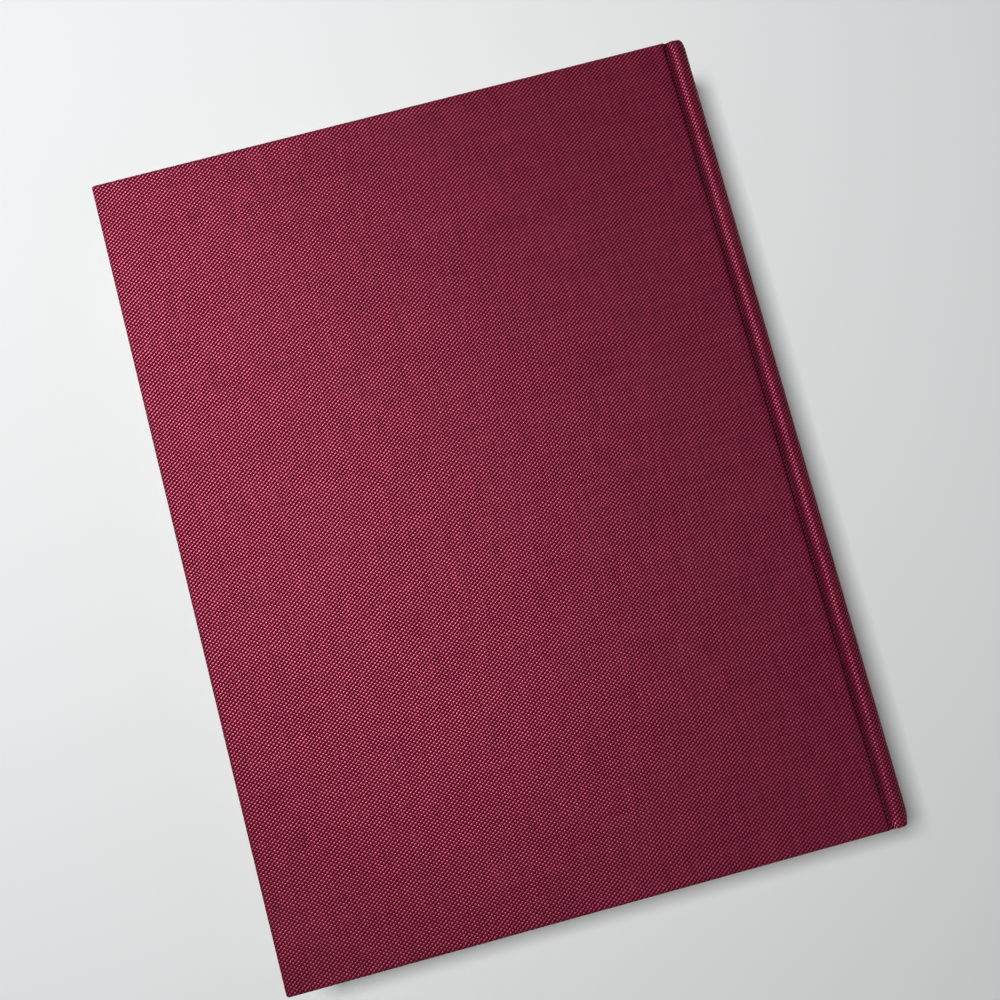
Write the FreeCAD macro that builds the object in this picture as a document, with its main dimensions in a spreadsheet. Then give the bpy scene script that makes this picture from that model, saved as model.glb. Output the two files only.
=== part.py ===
import FreeCAD, Part
import Sketcher
import math
import os

Vector = FreeCAD.Vector

# A case-bound book that lies flat, in millimetres. X runs from the fore edge to the spine, Y from tail to head
# and Z up. The back cover is on top and the front cover on the table. The two covers are alike, so each piece
# of a cover is made once as the back one and turned over about X for the front one.

# Every size that can be set by itself, with what it measures.
SIZES = {
    "leaf_height": (254.0, "pages, head to tail"),
    "leaf_width": (192.0, "pages, fore edge to back"),
    "block_thick": (20.2, "all the pages, pressed"),
    "leaf_thick": (0.2, "endpaper"),
    "head_square": (3.0, "cover beyond the pages at head and tail"),
    "fore_square": (3.5, "cover beyond the pages at the fore edge"),
    "board_thick": (2.6, "greyboard of a cover"),
    "cloth_thick": (0.4, "book cloth with its glue"),
    "mull_thick": (0.25, "gauze on the back of the pages"),
    "lining_thick": (0.25, "kraft paper over the gauze"),
    "inlay_thick": (1.0, "card inside the spine"),
    "turn_in": (15.0, "cloth turned over the edge of a board"),
    "spine_radius": (33.0, "outside of the rounded spine"),
    "shoulder_radius": (3.7, "where the spine turns into the joint"),
    "bead_drop": (0.3, "top of the shoulder below the cover's face"),
    "groove_width": (1.5, "floor of the pressed joint"),
    "joint_gap": (0.3, "between spine cloth and cover cloth, where the hinge line is"),
    "page_gap": (0.1, "between an endpaper and the cover's lining"),
    "hollow_gap": (0.3, "between the spine's turned-in cloth and the back of the pages"),
    "joint_round": (1.6, "cloth over a board's edge at the joint"),
    "edge_round": (0.5, "cloth over the other edges of a board"),
    "corner_round": (0.8, "cloth at a board's corners"),
    "flange_width": (28.0, "gauze glued inside a cover"),
    "flange_short": (5.0, "gauze short of the turned-in cloth"),
    "inlay_short": (0.4, "card short of the shoulder's arc"),
    "lap": (1.5, "gauze past the flat of the pages, onto the shoulder"),
    "band_tape": (10.0, "part of a head band glued to the back"),
    "band_rise": (2.0, "bead of a head band above the pages"),
    "band_depth": (1.8, "bead of a head band over the pages"),
    "band_round": (0.8, "edges of that bead"),
    "tip_round": (0.5, "tip of the pages' shoulder"),
}

# Places worked out from the sizes. Heights are from the table, and distances from the covers' fore edge.
PLACES = {
    "stack": "2 * Sizes.leaf_thick + Sizes.page_gap + 2 * Sizes.cloth_thick + Sizes.board_thick",
    "case_thick": "Sizes.block_thick + 2 * stack",
    "case_height": "Sizes.leaf_height + 2 * Sizes.head_square",
    "middle": "case_thick / 2",
    "page_top": "middle + Sizes.block_thick / 2",
    "lining_face": "page_top + Sizes.leaf_thick + Sizes.page_gap",
    "turn_face": "lining_face + Sizes.leaf_thick",
    "board_face": "turn_face + Sizes.cloth_thick",
    "groove_floor": "turn_face + Sizes.mull_thick + Sizes.cloth_thick",
    "bead_top": "case_thick - Sizes.bead_drop",
    "bead_height": "bead_top - groove_floor",
    "back_stack": "2 * Sizes.cloth_thick + Sizes.inlay_thick + Sizes.hollow_gap"
    " + Sizes.lining_thick + Sizes.mull_thick",
    "back_radius": "Sizes.spine_radius - back_stack",
    "back_rise": "back_radius - sqrt(back_radius ^ 2 - (Sizes.block_thick / 2) ^ 2)",
    "spine_face": "Sizes.fore_square + back_rise + Sizes.leaf_width + back_stack",
    "back_centre": "spine_face - Sizes.spine_radius",
    "shoulder_high": "bead_top - Sizes.shoulder_radius - middle",
    "shoulder_out": "sqrt((Sizes.spine_radius - Sizes.shoulder_radius) ^ 2 - shoulder_high ^ 2)",
    "bead_crest": "back_centre + shoulder_out",
    "bead_start": "bead_crest - bead_height",
    "hinge_line": "bead_start - Sizes.groove_width / 2",
    "cover_edge": "bead_start - Sizes.groove_width",
    "board_edge": "cover_edge - Sizes.cloth_thick",
    "board_width": "board_edge - Sizes.cloth_thick",
    "board_height": "case_height - 2 * Sizes.cloth_thick",
    "arc_half": "Sizes.spine_radius * shoulder_high / (Sizes.spine_radius - Sizes.shoulder_radius)",
    "inlay_half": "arc_half - Sizes.inlay_short",
    "neck": "groove_floor - page_top",
    "shoulder_start": "bead_start + Sizes.cloth_thick + Sizes.mull_thick + Sizes.page_gap",
    "neck_start": "shoulder_start - neck",
}

doc = FreeCAD.newDocument("hardback_book")

sheet = doc.addObject("Spreadsheet::Sheet", "Sizes")
for row, (alias, (measure, meaning)) in enumerate(SIZES.items(), start=1):
    sheet.set(f"A{row}", meaning)
    sheet.set(f"B{row}", str(measure))
    sheet.setAlias(f"B{row}", alias)
doc.recompute()

places = doc.addObject("App::VarSet", "Places")
for alias, formula in PLACES.items():
    places.addProperty("App::PropertyFloat", alias, "Places")
    places.setExpression(alias, formula)
doc.recompute()


def size(alias):
    """A size from the sheet."""
    return float(sheet.get(alias))


def number(formula):
    """What a formula of sizes and places comes to now."""
    return float(places.evalExpression(formula))


def new_body(name):
    body = doc.addObject("PartDesign::Body", name)
    body.Label = name
    return body


def put(piece, along, across, up, side="back"):
    """Puts a piece's own origin at a place given by formulas: along X from the fore edge, across in Y from the
    middle and up from the table. On the front side the same place is turned over about X."""
    if side == "front":
        piece.Placement = FreeCAD.Placement(Vector(), FreeCAD.Rotation(Vector(1, 0, 0), 180))
        across = f"-({across})"
        up = f"Places.case_thick - ({up})"
    piece.setExpression(".Placement.Base.x", f"{along} - Places.spine_face / 2")
    piece.setExpression(".Placement.Base.y", across)
    piece.setExpression(".Placement.Base.z", up)


def new_sketch(body, name, plane, offset="0"):
    """A sketch on one of the body's own planes, moved out from it by a formula."""
    sketch = body.newObject("Sketcher::SketchObject", name)
    origin = next(f for f in body.Origin.OriginFeatures if f.Role == plane)
    sketch.AttachmentSupport = (origin, [""])
    sketch.MapMode = "FlatFace"
    sketch.setExpression(".AttachmentOffset.Base.z", offset)
    return sketch


def hold(sketch, kind, *where, formula):
    """Adds a distance or radius constraint whose value is a formula."""
    index = sketch.addConstraint(Sketcher.Constraint(kind, *where, number(formula)))
    sketch.setExpression(f"Constraints[{index}]", formula)


def join(sketch, ends):
    """Makes each pair of line or arc ends meet."""
    for first, second in ends:
        sketch.addConstraint(Sketcher.Constraint("Coincident", *first, *second))


def draw_rectangle(sketch, left, right, low, high):
    """A rectangle whose four sides are at distances from the sketch's origin, given as formulas."""
    x0, x1, y0, y1 = (number(side) for side in (left, right, low, high))
    corners = [Vector(x0, y0), Vector(x1, y0), Vector(x1, y1), Vector(x0, y1)]
    for start, end in zip(corners, corners[1:] + corners[:1]):
        sketch.addGeometry(Part.LineSegment(start, end))
    join(sketch, [((i, 2), ((i + 1) % 4, 1)) for i in range(4)])
    for i in (0, 2):
        sketch.addConstraint(Sketcher.Constraint("Horizontal", i))
        sketch.addConstraint(Sketcher.Constraint("Vertical", i + 1))
    hold(sketch, "DistanceX", -1, 1, 0, 1, formula=left)
    hold(sketch, "DistanceX", -1, 1, 2, 1, formula=right)
    hold(sketch, "DistanceY", -1, 1, 0, 1, formula=low)
    hold(sketch, "DistanceY", -1, 1, 2, 1, formula=high)


def draw_arc_band(sketch, inner, outer, half):
    """A band between two arcs about the sketch's origin, cut off level at half above and below it. The arcs'
    radii and the half height are formulas."""
    radii = [number(inner), number(outer)]
    reach = number(half)
    for radius in radii:
        turn = math.asin(reach / radius)
        circle = Part.Circle(Vector(), Vector(0, 0, 1), radius)
        sketch.addGeometry(Part.ArcOfCircle(circle, -turn, turn))
    for level in (-reach, reach):
        ends = [Vector(math.sqrt(radius**2 - reach**2), level) for radius in radii]
        sketch.addGeometry(Part.LineSegment(*ends))
    join(sketch, [((arc, 3), (-1, 1)) for arc in (0, 1)])
    join(sketch, [((0, 1), (2, 1)), ((1, 1), (2, 2)), ((0, 2), (3, 1)), ((1, 2), (3, 2))])
    for line in (2, 3):
        sketch.addConstraint(Sketcher.Constraint("Horizontal", line))
    hold(sketch, "Radius", 0, formula=inner)
    hold(sketch, "Radius", 1, formula=outer)
    hold(sketch, "DistanceY", 2, 1, -1, 1, formula=half)
    hold(sketch, "DistanceY", -1, 1, 3, 1, formula=half)


def extrude(body, kind, name, sketch, length, reverse=False):
    """A pad or pocket of the sketch, with its length as a formula."""
    feature = body.newObject(f"PartDesign::{kind}", name)
    feature.Profile = sketch
    feature.setExpression("Length", length)
    feature.Reversed = reverse
    sketch.Visibility = False
    doc.recompute()
    return feature


def round_edges(body, name, radius, wanted):
    """Fillets every edge of the body for which wanted(edge) is true."""
    base = body.Tip
    edges = [f"Edge{i}" for i, edge in enumerate(base.Shape.Edges, start=1) if wanted(edge)]
    if not edges:
        raise RuntimeError(f"{body.Label}: no edge for {name}")
    fillet = body.newObject("PartDesign::Fillet", name)
    fillet.Base = (base, edges)
    fillet.setExpression("Radius", radius)
    doc.recompute()
    return fillet


def edge_at(edge, **place):
    """Whether all of a straight edge lies at the given x, y or z."""
    points = [vertex.Point for vertex in edge.Vertexes]
    return len(points) == 2 and all(
        abs(getattr(point, axis) - level) < 1e-6 for axis, level in place.items() for point in points
    )


def make_plate(name, width, height, thick):
    """A flat sheet or board with its low corner at its own origin."""
    body = new_body(name)
    sketch = new_sketch(body, f"{name}_outline", "XY_Plane")
    draw_rectangle(sketch, "0", width, "0", height)
    extrude(body, "Pad", f"{name}_sheet", sketch, thick)
    return body


def make_board(side):
    """Greyboard of one cover, pressed round along its outer edge at the joint."""
    board = make_plate(f"{side}_board", "Places.board_width", "Places.board_height", "Sizes.board_thick")
    width = number("Places.board_width")
    thick = size("board_thick")
    round_edges(
        board,
        f"{side}_board_joint_edge",
        "Sizes.joint_round - Sizes.cloth_thick",
        lambda edge: edge_at(edge, x=width, z=thick),
    )
    put(board, "Sizes.cloth_thick", "-Places.board_height / 2", "Places.board_face", side)
    return board


def make_cover_cloth(side, board):
    """Cloth over one board: over the outer face, round four edges, turned in on three sides, and out along the
    floor of the joint as far as the hinge line. Its own origin is at the turned-in face."""
    name = f"{side}_cover_cloth"
    wrap = new_body(f"{name}_wrap")
    width = number("Places.cover_edge")
    height = number("Places.case_height")
    thick = number("Places.case_thick - Places.turn_face")
    outline = new_sketch(wrap, f"{name}_outline", "XY_Plane")
    draw_rectangle(outline, "0", "Places.cover_edge", "0", "Places.case_height")
    extrude(wrap, "Pad", f"{name}_slab", outline, "Places.case_thick - Places.turn_face")
    window = new_sketch(wrap, f"{name}_window", "XY_Plane")
    draw_rectangle(
        window,
        "Sizes.turn_in",
        "Places.board_edge",
        "Sizes.turn_in",
        "Places.case_height - Sizes.turn_in",
    )
    extrude(wrap, "Pocket", f"{name}_open_middle", window, "Sizes.cloth_thick", reverse=True)
    strip = new_sketch(wrap, f"{name}_strip_outline", "XY_Plane", "Sizes.mull_thick")
    draw_rectangle(
        strip,
        "Places.board_edge",
        "Places.hinge_line - Sizes.joint_gap / 2",
        "0",
        "Places.case_height",
    )
    extrude(wrap, "Pad", f"{name}_strip", strip, "Sizes.cloth_thick")
    round_edges(
        wrap,
        f"{name}_joint_edge",
        "Sizes.joint_round",
        lambda edge: edge_at(edge, x=width, z=thick),
    )
    round_edges(
        wrap,
        f"{name}_corners",
        "Sizes.corner_round",
        lambda edge: edge_at(edge, x=0, y=0) or edge_at(edge, x=0, y=height),
    )
    round_edges(
        wrap,
        f"{name}_fore_edge",
        "Sizes.edge_round",
        lambda edge: edge_at(edge, x=0, z=thick),
    )
    put(wrap, "0", "-Places.case_height / 2", "Places.turn_face", side)
    cloth = doc.addObject("Part::Cut", name)
    cloth.Label = name
    cloth.Base = wrap
    cloth.Tool = board
    return cloth


def make_pastedown(side):
    """Endpaper half glued inside one cover. It lies on the turned-in cloth and steps down to the board inside
    it, as deep as the gauze leaves room."""
    name = f"{side}_pastedown"
    paper = make_plate(
        name,
        "Places.board_edge - Sizes.fore_square",
        "Sizes.leaf_height",
        "Sizes.leaf_thick",
    )
    clear = "(Sizes.turn_in + Sizes.page_gap)"
    wall = "Sizes.leaf_thick"
    step = "(Sizes.cloth_thick - Sizes.mull_thick)"
    raised = new_sketch(paper, f"{name}_inside", "XY_Plane")
    draw_rectangle(
        raised,
        f"{clear} - Sizes.fore_square",
        "Places.board_edge - Sizes.fore_square",
        f"{clear} - Sizes.head_square",
        f"Sizes.leaf_height - {clear} + Sizes.head_square",
    )
    extrude(paper, "Pad", f"{name}_step", raised, f"Sizes.leaf_thick + {step}")
    sunk = new_sketch(paper, f"{name}_sunk", "XY_Plane")
    draw_rectangle(
        sunk,
        f"{clear} - Sizes.fore_square + {wall}",
        "Places.board_edge - Sizes.fore_square",
        f"{clear} - Sizes.head_square + {wall}",
        f"Sizes.leaf_height - {clear} + Sizes.head_square - {wall}",
    )
    extrude(paper, "Pocket", f"{name}_hollow", sunk, step, reverse=True)
    put(paper, "Sizes.fore_square", "-Sizes.leaf_height / 2", "Places.lining_face", side)
    return paper


def make_flange(side):
    """Edge of the gauze, glued to the inside of one board along the joint, under the pastedown."""
    height = "(Places.case_height - 2 * Sizes.turn_in - 2 * Sizes.flange_short)"
    flange = make_plate(f"{side}_mull_flange", "Sizes.flange_width", height, "Sizes.mull_thick")
    put(
        flange,
        "Places.board_edge - Sizes.flange_width",
        f"-{height} / 2",
        "Places.board_face - Sizes.mull_thick",
        side,
    )
    return flange


def make_flyleaf(side):
    """Free half of the endpaper, on the outermost page, from the fore edge to the foot of the shoulder."""
    leaf = make_plate(
        f"{side}_flyleaf",
        "Places.neck_start - Sizes.fore_square",
        "Sizes.leaf_height",
        "Sizes.leaf_thick",
    )
    put(leaf, "Sizes.fore_square", "-Sizes.leaf_height / 2", "Places.page_top", side)
    return leaf


def make_back_layer(name, inner, outer, half, length):
    """A sheet bent round the back of the pages, of even thickness, centred on the middle of the spine."""
    body = new_body(name)
    section = new_sketch(body, f"{name}_section", "XZ_Plane", f"-({length}) / 2")
    draw_arc_band(section, inner, outer, half)
    extrude(body, "Pad", f"{name}_sheet", section, length)
    put(body, "Places.back_centre", "0", "Places.middle")
    return body


def make_band(name, end):
    """Head band: a tape glued to the back of the pages, with a bead along its edge that sits on their end.
    end is 1 at the head and -1 at the tail."""
    body = new_body(name)
    outer = "Places.back_radius + Sizes.mull_thick"
    tape = new_sketch(body, f"{name}_tape_section", "XZ_Plane", "-Sizes.leaf_height / 2")
    draw_arc_band(tape, "Places.back_radius", outer, "Sizes.block_thick / 2")
    extrude(body, "Pad", f"{name}_tape", tape, "Sizes.band_tape")
    bead = new_sketch(body, f"{name}_bead_section", "XZ_Plane", "-Sizes.leaf_height / 2")
    draw_arc_band(bead, "Places.back_radius - Sizes.band_depth", outer, "Sizes.block_thick / 2")
    extrude(body, "Pad", f"{name}_bead", bead, "Sizes.band_rise", reverse=True)
    rim = number("Sizes.leaf_height / 2 + Sizes.band_rise")
    round_edges(
        body,
        f"{name}_bead_edges",
        "Sizes.band_round",
        lambda edge: abs(edge.BoundBox.YMin - rim) < 1e-6 and edge.Curve.TypeId == "Part::GeomCircle",
    )
    put(body, "Places.back_centre", "0", "Places.middle")
    if end < 0:
        body.Placement = FreeCAD.Placement(body.Placement.Base, FreeCAD.Rotation(Vector(1, 0, 0), 180))
    return body


def on_arc(centre, radius, angle):
    """A point in the XZ plane on a circle, with the angle in radians from +X towards +Z."""
    return Vector(centre.x + radius * math.cos(angle), 0, centre.z + radius * math.sin(angle))


def arc(centre, radius, start, end):
    """An arc in the XZ plane between two angles."""
    points = [on_arc(centre, radius, angle) for angle in (start, (start + end) / 2, end)]
    return Part.Arc(*points).toShape()


def turned_over(point):
    """The same place on the other side of the book's middle."""
    return Vector(point.x, 0, 2 * places.middle - point.z)


def mirrored(edges):
    """The same edges on the other side of the book's middle, in the opposite order."""
    middle = Vector(0, 0, places.middle)
    return [edge.mirror(middle, Vector(0, 0, 1)) for edge in reversed(edges)]


def lines(*points):
    return [Part.LineSegment(start, end).toShape() for start, end in zip(points, points[1:])]


def solid_along(edges, low, high):
    """The closed outline carried along Y from low to high."""
    face = Part.Face(Part.Wire(Part.__sortEdges__(edges)))
    face.translate(Vector(0, low, 0))
    return face.extrude(Vector(0, high - low, 0))


def spine_arcs(depth):
    """The upper half of the spine's curve, this deep inside its outer face: from the middle of the spine over
    the shoulder to the side of the bead."""
    turn = math.atan2(places.shoulder_high, places.shoulder_out)
    back = Vector(places.back_centre, 0, places.middle)
    shoulder = Vector(places.bead_crest, 0, places.middle + places.shoulder_high)
    bead = Vector(places.bead_crest, 0, places.groove_floor)
    return [
        arc(back, size("spine_radius") - depth, 0, turn),
        arc(shoulder, size("shoulder_radius") - depth, turn, math.pi / 2),
        arc(bead, places.bead_height - depth, math.pi / 2, math.pi),
    ]


def back_band(near, far, half, low, high):
    """A band bent round the spine, between two depths inside its outer face, cut off level at half."""
    edges = []
    ends = []
    centre = Vector(places.back_centre, 0, places.middle)
    for depth in (near, far):
        radius = size("spine_radius") - depth
        turn = math.asin(half / radius)
        edges.append(arc(centre, radius, -turn, turn))
        ends.append(on_arc(centre, radius, turn))
    edges += lines(*ends)
    edges += lines(*(turned_over(point) for point in ends))
    return solid_along(edges, low, high)


def spine_cloth_shape():
    """Cloth from one joint over the spine to the other, turned in round the card at head and tail."""
    cloth = size("cloth_thick")
    strip_end = places.hinge_line + size("joint_gap") / 2
    floor = places.groove_floor
    strip = lines(
        Vector(places.bead_start, 0, floor),
        Vector(strip_end, 0, floor),
        Vector(strip_end, 0, floor - cloth),
        Vector(places.bead_start + cloth, 0, floor - cloth),
        Vector(places.bead_start + cloth, 0, floor),
    )
    upper = spine_arcs(0) + strip + spine_arcs(cloth)
    top = places.case_height / 2
    shape = solid_along(upper + mirrored(upper), -top, top)
    card = back_band(
        cloth,
        cloth + size("inlay_thick"),
        places.inlay_half,
        -top + cloth,
        top - cloth,
    )
    for low in (-top, top - size("turn_in")):
        turned = back_band(
            cloth,
            2 * cloth + size("inlay_thick"),
            places.inlay_half + cloth,
            low,
            low + size("turn_in"),
        )
        shape = shape.fuse(turned)
    return shape.cut(card).removeSplitter()


def text_block_shape():
    """All the pages as one solid: hollow at the fore edge by as much as the back is round, with a shoulder
    pressed out along each side of the back for the boards to sit behind."""
    top = places.page_top
    fore = size("fore_square")
    bead = Vector(places.bead_crest, 0, places.groove_floor)
    side = places.bead_crest - places.shoulder_start
    back = Vector(places.back_centre, 0, places.middle)
    radius = places.back_radius
    # The shoulder's tip is where the circle of its side, about the bead, cuts the circle of the back.
    gap = bead.sub(back)
    distance = gap.Length
    along = (radius**2 - side**2 + distance**2) / (2 * distance)
    off = math.sqrt(radius**2 - along**2)
    heading = math.atan2(gap.z, gap.x)
    tip_turn = heading + math.atan2(off, along)
    tip = on_arc(back, radius, tip_turn)
    tip_angle = math.atan2(tip.z - bead.z, tip.x - bead.x)
    neck = Vector(places.neck_start, 0, top + places.neck)
    upper = [
        arc(back, radius, 0, tip_turn),
        arc(bead, side, tip_angle, math.pi),
        arc(neck, places.neck, 0, -math.pi / 2),
    ]
    upper += lines(Vector(places.neck_start, 0, top), Vector(fore, 0, top))
    hollow = Part.Arc(
        Vector(fore, 0, top),
        Vector(fore + places.back_rise, 0, places.middle),
        turned_over(Vector(fore, 0, top)),
    )
    half = size("leaf_height") / 2
    block = solid_along(upper + mirrored(upper) + [hollow.toShape()], -half, half)
    tips = [
        edge
        for edge in block.Edges
        if edge_at(edge, x=tip.x, z=tip.z) or edge_at(edge, x=tip.x, z=turned_over(tip).z)
    ]
    return block.makeFillet(size("tip_round"), tips)


def make_shaped(name, shape):
    """A sub-part whose section is made of arcs that share their centres with its neighbours'."""
    piece = doc.addObject("Part::Feature", name)
    piece.Label = name
    piece.Shape = shape
    piece.Placement = FreeCAD.Placement(Vector(-places.spine_face / 2, 0, 0), FreeCAD.Rotation())
    return piece


nodes = [
    make_shaped("text_block", text_block_shape()),
    make_shaped("spine_cloth", spine_cloth_shape()),
    make_back_layer(
        "spine_inlay",
        "Sizes.spine_radius - Sizes.cloth_thick - Sizes.inlay_thick",
        "Sizes.spine_radius - Sizes.cloth_thick",
        "Places.inlay_half",
        "Places.board_height",
    ),
    make_back_layer(
        "spine_mull",
        "Places.back_radius",
        "Places.back_radius + Sizes.mull_thick",
        "Sizes.block_thick / 2 + Sizes.lap",
        "(Sizes.leaf_height - 2 * Sizes.band_tape)",
    ),
    make_back_layer(
        "spine_lining",
        "Places.back_radius + Sizes.mull_thick",
        "Places.back_radius + Sizes.mull_thick + Sizes.lining_thick",
        "Sizes.block_thick / 2",
        "Sizes.leaf_height",
    ),
    make_band("head_band", 1),
    make_band("tail_band", -1),
]
for side in ("front", "back"):
    board = make_board(side)
    nodes += [
        board,
        make_cover_cloth(side, board),
        make_flange(side),
        make_pastedown(side),
        make_flyleaf(side),
    ]
doc.recompute()

for item in doc.Objects:
    if {"Invalid", "Error"} & set(item.State):
        raise RuntimeError(f"{item.Label} is {item.State}")
for node in nodes:
    if node.Shape.isNull() or not node.Shape.isValid() or len(node.Shape.Solids) != 1:
        raise RuntimeError(f"{node.Label} isn't one valid solid")
os.makedirs("parts", exist_ok=True)
for node in nodes:
    node.Shape.exportStep(f"parts/{node.Label}.step")
    box = node.Shape.optimalBoundingBox()
    print(
        f"{node.Label}: {node.Shape.Volume:.1f} mm3,"
        f" x {box.XMin:.2f} to {box.XMax:.2f}, y {box.YMin:.2f} to {box.YMax:.2f},"
        f" z {box.ZMin:.2f} to {box.ZMax:.2f}"
    )
hinge_x = places.hinge_line - places.spine_face / 2
print(f"case {places.spine_face:.3f} x {places.case_height:.3f} x {places.case_thick:.3f} mm")
print(f"hinge lines at x {hinge_x:.3f}, z {places.case_thick:.3f} and 0 mm")
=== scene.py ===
import bmesh
import bpy
import numpy as np
from mathutils import Matrix, Vector


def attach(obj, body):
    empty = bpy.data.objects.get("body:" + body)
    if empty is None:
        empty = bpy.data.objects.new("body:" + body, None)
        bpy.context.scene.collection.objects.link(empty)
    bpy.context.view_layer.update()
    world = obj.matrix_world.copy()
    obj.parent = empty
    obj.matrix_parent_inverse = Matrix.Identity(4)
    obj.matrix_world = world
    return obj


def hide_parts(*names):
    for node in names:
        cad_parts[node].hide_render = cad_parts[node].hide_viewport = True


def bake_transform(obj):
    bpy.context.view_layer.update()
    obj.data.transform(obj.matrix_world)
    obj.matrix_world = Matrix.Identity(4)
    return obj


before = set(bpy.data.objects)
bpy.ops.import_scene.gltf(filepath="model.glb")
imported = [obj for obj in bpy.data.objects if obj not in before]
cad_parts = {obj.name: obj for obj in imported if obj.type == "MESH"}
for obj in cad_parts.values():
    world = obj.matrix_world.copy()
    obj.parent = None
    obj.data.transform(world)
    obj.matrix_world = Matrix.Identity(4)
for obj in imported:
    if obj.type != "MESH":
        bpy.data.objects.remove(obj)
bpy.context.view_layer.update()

mm = 0.001


# The pages: folded sections of cream uncoated paper, sewn and glued along a rounded back, trimmed on
# three sides. Their backs are pressed out over the boards as a shoulder, and the round back pulls the
# fore edge into a shallow hollow.

fore_edge_x = -96.41  # corners of the hollow fore edge
page_half_height = 127.0
page_half_thick = 10.1
page_face = 24.1  # outer face of the last leaf
middle_height = 14.0  # of the whole book, which is 28 mm thick
back_centre = 66.913  # the round back and the spine are arcs about this line
back_radius = 30.4
back_middle = 97.313  # farthest out on the round back
corner_reach = 28.673  # how far the hollow's centre lies from the fore edge corners
flare_from = 84.75  # from here on the leaves bend out to the shoulder
bend_centre, bend_radius = (91.604, 25.25), 1.15  # where the outer leaves turn up along the joint
bead_centre, bead_radius = (94.454, 25.25), 1.7  # rounded top of the shoulder
back_corner = (94.014, 26.892)  # where the shoulder meets the round back
leaf_count = 121  # rows of the mesh, each a few real leaves
section_thick = 0.00168  # one sewn section, in metres
paper_cream = (0.80, 0.725, 0.585, 1)
paper_aged = (0.66, 0.56, 0.41, 1)
leaf_gap_shade = (0.44, 0.36, 0.26, 1)


def arc(centre, radius, start, end, count=90):
    """Points (x, z) on a circle, at angles going evenly from start to end in degrees from +X towards +Z."""
    turn = np.radians(np.linspace(start, end, count))
    return np.stack([centre[0] + radius * np.cos(turn), centre[1] + radius * np.sin(turn)], axis=1)


def run_along(line):
    """Distance of each point of a line from its start, measured along the line."""
    steps = np.hypot(*np.diff(line, axis=0).T)
    return np.concatenate([[0.0], np.cumsum(steps)])


def at_shares(line, shares):
    """Points of a line at shares of its length, from 0 at its start to 1 at its end."""
    run = run_along(line) / run_along(line)[-1]
    return np.stack([np.interp(shares, run, line[:, k]) for k in (0, 1)], axis=-1)


def make_surface(name, patches, closed=True):
    """A mesh of grid patches, each (points in mm, unrolled place in mm, whether to turn it over). A grid's
    quads join neighbouring points, and the edges that patches share are merged into one. The faces of a
    closed mesh are all turned outwards."""
    points, places, faces, first = [], [], [], 0
    for grid, unrolled, turned in patches:
        rows, columns = grid.shape[:2]
        corner = first + np.arange(rows - 1)[:, None] * columns + np.arange(columns - 1)
        quad = [corner, corner + 1, corner + columns + 1, corner + columns]
        faces.append(np.stack(quad[::-1] if turned else quad, axis=-1).reshape(-1, 4))
        points.append(grid.reshape(-1, 3))
        places.append(np.broadcast_to(unrolled, (rows, columns, 2)).reshape(-1, 2))
        first += rows * columns
    points = np.concatenate(points) * mm
    places = np.concatenate(places) * mm
    faces = np.concatenate(faces)
    mesh = bpy.data.meshes.new(name)
    mesh.from_pydata(points.tolist(), [], faces.tolist())
    mesh.uv_layers.new(name="Unrolled").data.foreach_set("uv", places[faces.ravel()].ravel())
    welded = bmesh.new()
    welded.from_mesh(mesh)
    bmesh.ops.remove_doubles(welded, verts=welded.verts, dist=2e-7)
    bmesh.ops.dissolve_degenerate(welded, edges=welded.edges, dist=2e-7)
    if closed:
        bmesh.ops.recalc_face_normals(welded, faces=welded.faces)
    welded.to_mesh(mesh)
    welded.free()
    mesh.shade_smooth()
    mesh.set_sharp_from_angle(angle=np.radians(50))
    piece = bpy.data.objects.new(name, mesh)
    bpy.context.collection.objects.link(piece)
    return piece


def leaf_place(leaf, across):
    """Place (x, z) on a leaf in a section across the back. leaf goes from -1, the front, to 1, the back.
    across goes from 0 to 1 over the flat part, and from 1 to 2 over the part that flares: a patch between
    the straight middle leaf, the shoulder's outline, the flat part's end and the round back."""
    side = np.sign(leaf)
    out = np.abs(leaf)
    fore_x = fore_edge_x - corner_reach + np.sqrt(back_radius**2 - (page_half_thick * out) ** 2)
    flat_x = fore_x + (flare_from - fore_x) * np.clip(across, 0, 1)
    shoulder_line = np.concatenate(
        [
            [[flare_from, page_face]],
            arc(bend_centre, bend_radius, -90, 0, 24),
            arc(bead_centre, bead_radius, 180, 105, 24),
        ]
    )
    back_line = np.concatenate(
        [arc((back_centre, middle_height), back_radius, 0, 24), [[94.47, 26.75], back_corner]]
    )
    share = np.clip(across - 1, 0, 1)
    inner = np.stack([flare_from + (back_middle - flare_from) * share, share * 0 + middle_height], axis=-1)
    outer = at_shares(shoulder_line, share)
    start = np.stack([out * 0 + flare_from, middle_height + page_half_thick * out], axis=-1)
    end = at_shares(back_line, out)
    flare_middle, flare_face, back_low, back_high = (
        np.array(corner)
        for corner in (
            (flare_from, middle_height),
            (flare_from, page_face),
            (back_middle, middle_height),
            back_corner,
        )
    )
    t, w = share[..., None], out[..., None]
    patch = (1 - w) * inner + w * outer + (1 - t) * start + t * end
    patch -= (1 - t) * ((1 - w) * flare_middle + w * flare_face)
    patch -= t * ((1 - w) * back_low + w * back_high)
    x = np.where(across < 1, flat_x, patch[..., 0])
    rise = np.where(across < 1, page_half_thick * out, patch[..., 1] - middle_height)
    return x, middle_height + side * rise


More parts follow.
